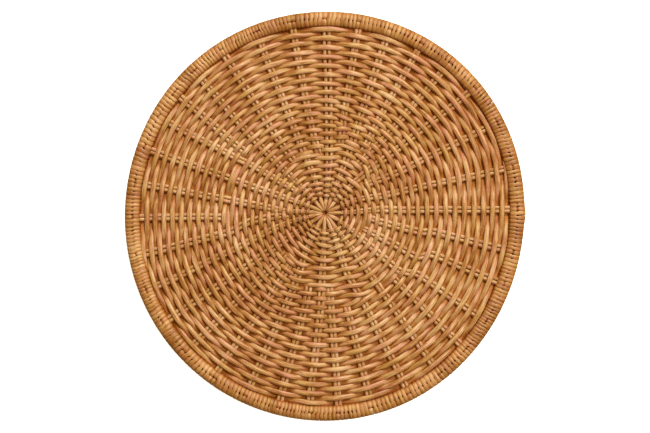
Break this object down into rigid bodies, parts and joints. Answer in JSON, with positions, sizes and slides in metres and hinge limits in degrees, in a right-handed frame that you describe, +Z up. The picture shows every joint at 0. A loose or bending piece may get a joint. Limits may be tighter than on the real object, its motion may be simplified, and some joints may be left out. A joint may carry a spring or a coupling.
{
  "type": "rattan placemat",
  "caption": "Round woven rattan placemat: a flat disc of cane, spiral woven over paired spokes from an open star, held in a rounded lashed rim.",
  "frame": {"origin": "middle of the outline's box, on the table that the mat lies on", "axes": "+Z up through the mat, +Y along its slightly longer diameter, +X across"},
  "size_m": [0.3702, 0.3792, 0.011],
  "materials": {
    "cane": "natural round cane, golden tan, satin, varying from strand to strand",
    "lashing": "natural cane lashing, golden tan, satin, wound side by side"
  },
  "bodies": {
    "root": {"woven_disc": "cane", "lashed_rim": "lashing"}
  },
  "joints": []
}
